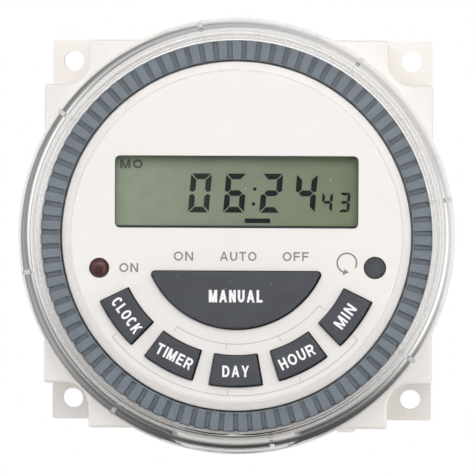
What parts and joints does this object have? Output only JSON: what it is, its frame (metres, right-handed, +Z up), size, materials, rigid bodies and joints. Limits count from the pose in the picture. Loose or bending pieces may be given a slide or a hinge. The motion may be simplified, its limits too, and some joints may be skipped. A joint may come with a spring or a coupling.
{
  "type": "din rail timer",
  "caption": "Weekly programmable timer switch with a square housing, round control face, ribbed ring and clear lift-off cover, for a rail or panel.",
  "frame": {"origin": "centre of the four fixing holes, on the back plane of the fixing plate", "axes": "+X right and +Z up as seen from the front, the face looks along -Y"},
  "size_m": [0.0668, 0.039, 0.0668],
  "materials": {
    "housing_plastic": "fine satin, off white",
    "fascia_plastic": "satin, off white",
    "clear_plastic": "polished, clear",
    "grey_plastic": "satin blue grey",
    "key_rubber": "matte dark grey",
    "mat_rubber": "matte dark grey",
    "display_glass": "polished",
    "display_backing": "silvery green",
    "window_plastic": "polished, clear",
    "black_plastic": "satin",
    "indicator_red": "dark red, unlit",
    "circuit_board": "solder resist green",
    "tinned_metal": "dull tin",
    "steel": "zinc plated",
    "brass": "satin",
    "copper": "enamelled wire",
    "carbon": "matte",
    "ceramic_blue": "coated",
    "component_yellow": "moulded",
    "component_sleeve": "shrink sleeve",
    "nylon_white": "moulded",
    "resistor_body": "lacquered"
  },
  "bodies": {
    "housing": {"rear_plate": "housing_plastic", "front_shell": "housing_plastic", "assembly_screws": "steel", "latch_spring": "steel", "fascia": "fascia_plastic", "lcd_lens": "window_plastic", "lcd_glass": "display_glass", "lcd_reflector": "display_backing", "lcd_frame": "black_plastic", "zebra_strip": "carbon", "control_board": "circuit_board", "control_board_screws": "steel", "microcontroller": "black_plastic", "crystal": "tinned_metal", "smd_parts": "nylon_white", "contact_pads": "carbon", "indicator_led": "indicator_red", "led_leads": "tinned_metal", "keypad_mat": "mat_rubber", "key_domes": "mat_rubber", "power_board": "circuit_board", "power_board_screws": "steel", "component_leads": "tinned_metal", "film_capacitor": "component_yellow", "electrolytic_capacitor": "component_sleeve", "varistor": "ceramic_blue", "fuse": "black_plastic", "transistor": "black_plastic", "rectifier_diodes": "black_plastic", "dropper_resistor": "resistor_body", "backup_battery": "tinned_metal", "battery_clips": "steel", "link_header": "black_plastic", "link_pins": "brass", "supply_tabs": "brass", "switch_tabs": "brass", "top_tab_block": "nylon_white", "bottom_tab_block": "nylon_white", "relay_base": "black_plastic", "relay_case": "black_plastic", "relay_pins": "tinned_metal", "relay_yoke": "steel", "relay_bobbin": "nylon_white", "relay_coil": "copper", "fixed_contacts": "copper"},
    "cover": {"clear_cover": "clear_plastic"},
    "ring": {"locking_ring": "grey_plastic"},
    "latch": {"din_latch": "housing_plastic"},
    "armature": {"relay_armature": "steel", "moving_contact": "copper"},
    "reset": {"reset_button": "key_rubber"},
    "clock": {"clock_key": "key_rubber"},
    "timer": {"timer_key": "key_rubber"},
    "day": {"day_key": "key_rubber"},
    "hour": {"hour_key": "key_rubber"},
    "minute": {"minute_key": "key_rubber"},
    "manual": {"manual_key": "key_rubber"}
  },
  "joints": [
    {"name": "cover_pull", "type": "slide", "parent": "housing", "child": "cover", "axis": [0, -1, 0], "range_m": [0, 0.015]},
    {"name": "ring_turn", "type": "hinge", "parent": "housing", "child": "ring", "pos_m": [0, -0.033, 0], "axis": [0, -1, 0], "range_deg": [0, 20]},
    {"name": "latch_slide", "type": "slide", "parent": "housing", "child": "latch", "axis": [0, 0, -1], "range_m": [0, 0.0035], "stiffness_N_per_m": 400, "springref_m": -0.0015, "deforming": ["latch_spring"]},
    {"name": "armature_pull", "type": "hinge", "parent": "housing", "child": "armature", "pos_m": [-0.0121, -0.02395, 0.0106], "axis": [0, 0, 1], "range_deg": [0, 4], "stiffness_Nm_per_rad": 0.02, "springref_deg": -4.01},
    {"name": "clock_press", "type": "slide", "parent": "housing", "child": "clock", "axis": [0, 1, 0], "range_m": [0, 0.0008], "stiffness_N_per_m": 1500, "springref_m": -0.0002, "deforming": ["key_domes"]},
    {"name": "timer_press", "type": "slide", "parent": "housing", "child": "timer", "axis": [0, 1, 0], "range_m": [0, 0.0008], "stiffness_N_per_m": 1500, "springref_m": -0.0002, "deforming": ["key_domes"]},
    {"name": "day_press", "type": "slide", "parent": "housing", "child": "day", "axis": [0, 1, 0], "range_m": [0, 0.0008], "stiffness_N_per_m": 1500, "springref_m": -0.0002, "deforming": ["key_domes"]},
    {"name": "hour_press", "type": "slide", "parent": "housing", "child": "hour", "axis": [0, 1, 0], "range_m": [0, 0.0008], "stiffness_N_per_m": 1500, "springref_m": -0.0002, "deforming": ["key_domes"]},
    {"name": "minute_press", "type": "slide", "parent": "housing", "child": "minute", "axis": [0, 1, 0], "range_m": [0, 0.0008], "stiffness_N_per_m": 1500, "springref_m": -0.0002, "deforming": ["key_domes"]},
    {"name": "manual_press", "type": "slide", "parent": "housing", "child": "manual", "axis": [0, 1, 0], "range_m": [0, 0.0008], "stiffness_N_per_m": 1500, "springref_m": -0.0002, "deforming": ["key_domes"]},
    {"name": "reset_press", "type": "slide", "parent": "housing", "child": "reset", "axis": [0, 1, 0], "range_m": [0, 0.0005], "stiffness_N_per_m": 1500, "springref_m": -0.0002, "deforming": ["key_domes"]}
  ]
}
